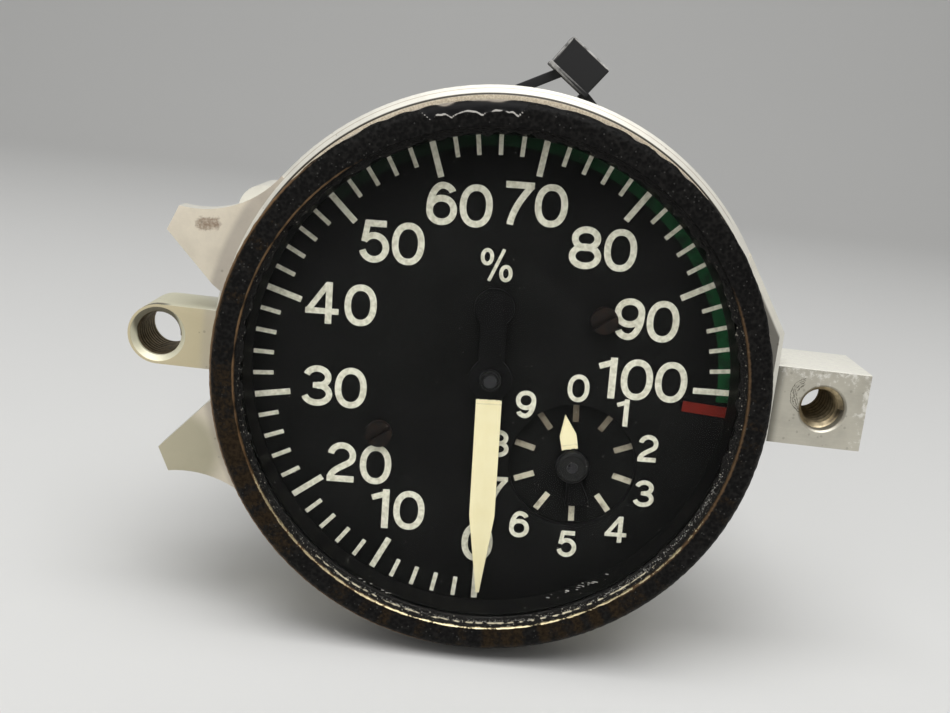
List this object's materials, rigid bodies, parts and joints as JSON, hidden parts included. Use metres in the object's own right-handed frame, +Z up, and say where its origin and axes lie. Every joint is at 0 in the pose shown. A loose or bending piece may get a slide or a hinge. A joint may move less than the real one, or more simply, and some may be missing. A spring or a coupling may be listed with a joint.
{
  "type": "aircraft tachometer",
  "caption": "Round panel tachometer with a percent dial, a small unit dial, two pointers, a worn black bezel, mounting lugs and a rear plug connector.",
  "frame": {"origin": "midway between the two panel screw holes, on the front face of the lugs", "axes": "the dial faces -Y, +Z is up with the lugs level, +X is to the right seen from the front"},
  "size_m": [0.0705, 0.1022, 0.0588],
  "materials": {
    "bezel_paint": "wrinkled black, worn to brass at the edges",
    "glass": "clear",
    "gasket": "matt",
    "spacer": "matt black",
    "dial": "matt black with cream marks",
    "unit_dial": "matt black with cream marks",
    "dial_screw": "matt black",
    "flange": "dull, stained",
    "lug_block": "bare, scratched",
    "insert": "satin",
    "screw_steel": "satin",
    "case": "satin",
    "connector": "olive plated",
    "insulator": "matt",
    "contact": "bright",
    "tie": "black nylon",
    "plate_brass": "satin",
    "wheel_brass": "satin",
    "arbor": "polished",
    "pointer": "matt cream with black tail",
    "hub": "satin black",
    "jewel": "polished",
    "spring": "blued",
    "drag_metal": "bright",
    "magnet": "matt",
    "motor_plate": "satin",
    "stator": "matt",
    "coil": "varnished copper wire",
    "lead": "matt"
  },
  "bodies": {
    "case": {"bezel": "bezel_paint", "cover_glass": "glass", "glass_gasket": "gasket", "dial_spacer": "spacer", "dial_plate": "dial", "sub_dial": "unit_dial", "dial_screws": "dial_screw", "mounting_flange": "flange", "lug_block": "lug_block", "lug_block_screws": "screw_steel", "thread_insert": "insert", "case_body": "case", "case_screws": "screw_steel", "connector_gasket": "gasket", "connector_shell": "connector", "connector_insert": "insulator", "connector_pins": "contact", "connector_screws": "screw_steel", "cable_tie": "tie", "front_plate": "plate_brass", "dial_posts": "plate_brass", "front_pillars": "plate_brass", "front_plate_screws": "screw_steel", "gear_bridge": "plate_brass", "rear_pillars": "plate_brass", "jewels": "jewel", "hairspring": "spring", "hairspring_stud": "arbor", "motor_front_plate": "motor_plate", "motor_bushes": "wheel_brass", "stator_core": "stator", "stator_coils": "coil", "motor_rear_plate": "motor_plate", "motor_bolts": "screw_steel", "rear_standoffs": "plate_brass", "lead_wires": "lead"},
    "main_pointer": {"main_arbor": "arbor", "main_pointer": "pointer", "pointer_hub": "hub", "main_wheel": "wheel_brass", "hairspring_collet": "wheel_brass", "drag_cup": "drag_metal"},
    "idler": {"idler_arbor": "arbor", "idler_pinion": "arbor", "idler_wheel": "wheel_brass"},
    "unit_pointer": {"sub_arbor": "arbor", "sub_pinion": "arbor", "sub_pointer": "pointer", "sub_hub": "hub"},
    "motor_rotor": {"motor_shaft": "arbor", "motor_rotor": "magnet", "drag_magnet": "magnet", "flux_cup": "stator"}
  },
  "joints": [
    {"name": "main_pointer_turn", "type": "hinge", "parent": "case", "child": "main_pointer", "pos_m": [0, 0, 0], "axis": [0, 1, 0], "range_deg": [0, 298], "stiffness_Nm_per_rad": 0.00005},
    {"name": "idler_turn", "type": "hinge", "parent": "case", "child": "idler", "pos_m": [-0.00083, 0.007, -0.00997], "axis": [0, 1, 0], "range_deg": [-1192.5, 0.5]},
    {"name": "unit_pointer_turn", "type": "hinge", "parent": "case", "child": "unit_pointer", "pos_m": [0.00866, 0.004, -0.00772], "axis": [0, 1, 0], "range_deg": [-0.5, 3974]},
    {"name": "rotor_spin", "type": "hinge", "parent": "case", "child": "motor_rotor", "pos_m": [0, 0.04, 0], "axis": [0, 1, 0], "continuous": true}
  ],
  "couplings": [
    {"joint": "idler_turn", "follows": "main_pointer_turn", "ratio": -4},
    {"joint": "unit_pointer_turn", "follows": "main_pointer_turn", "ratio": 13.333}
  ]
}
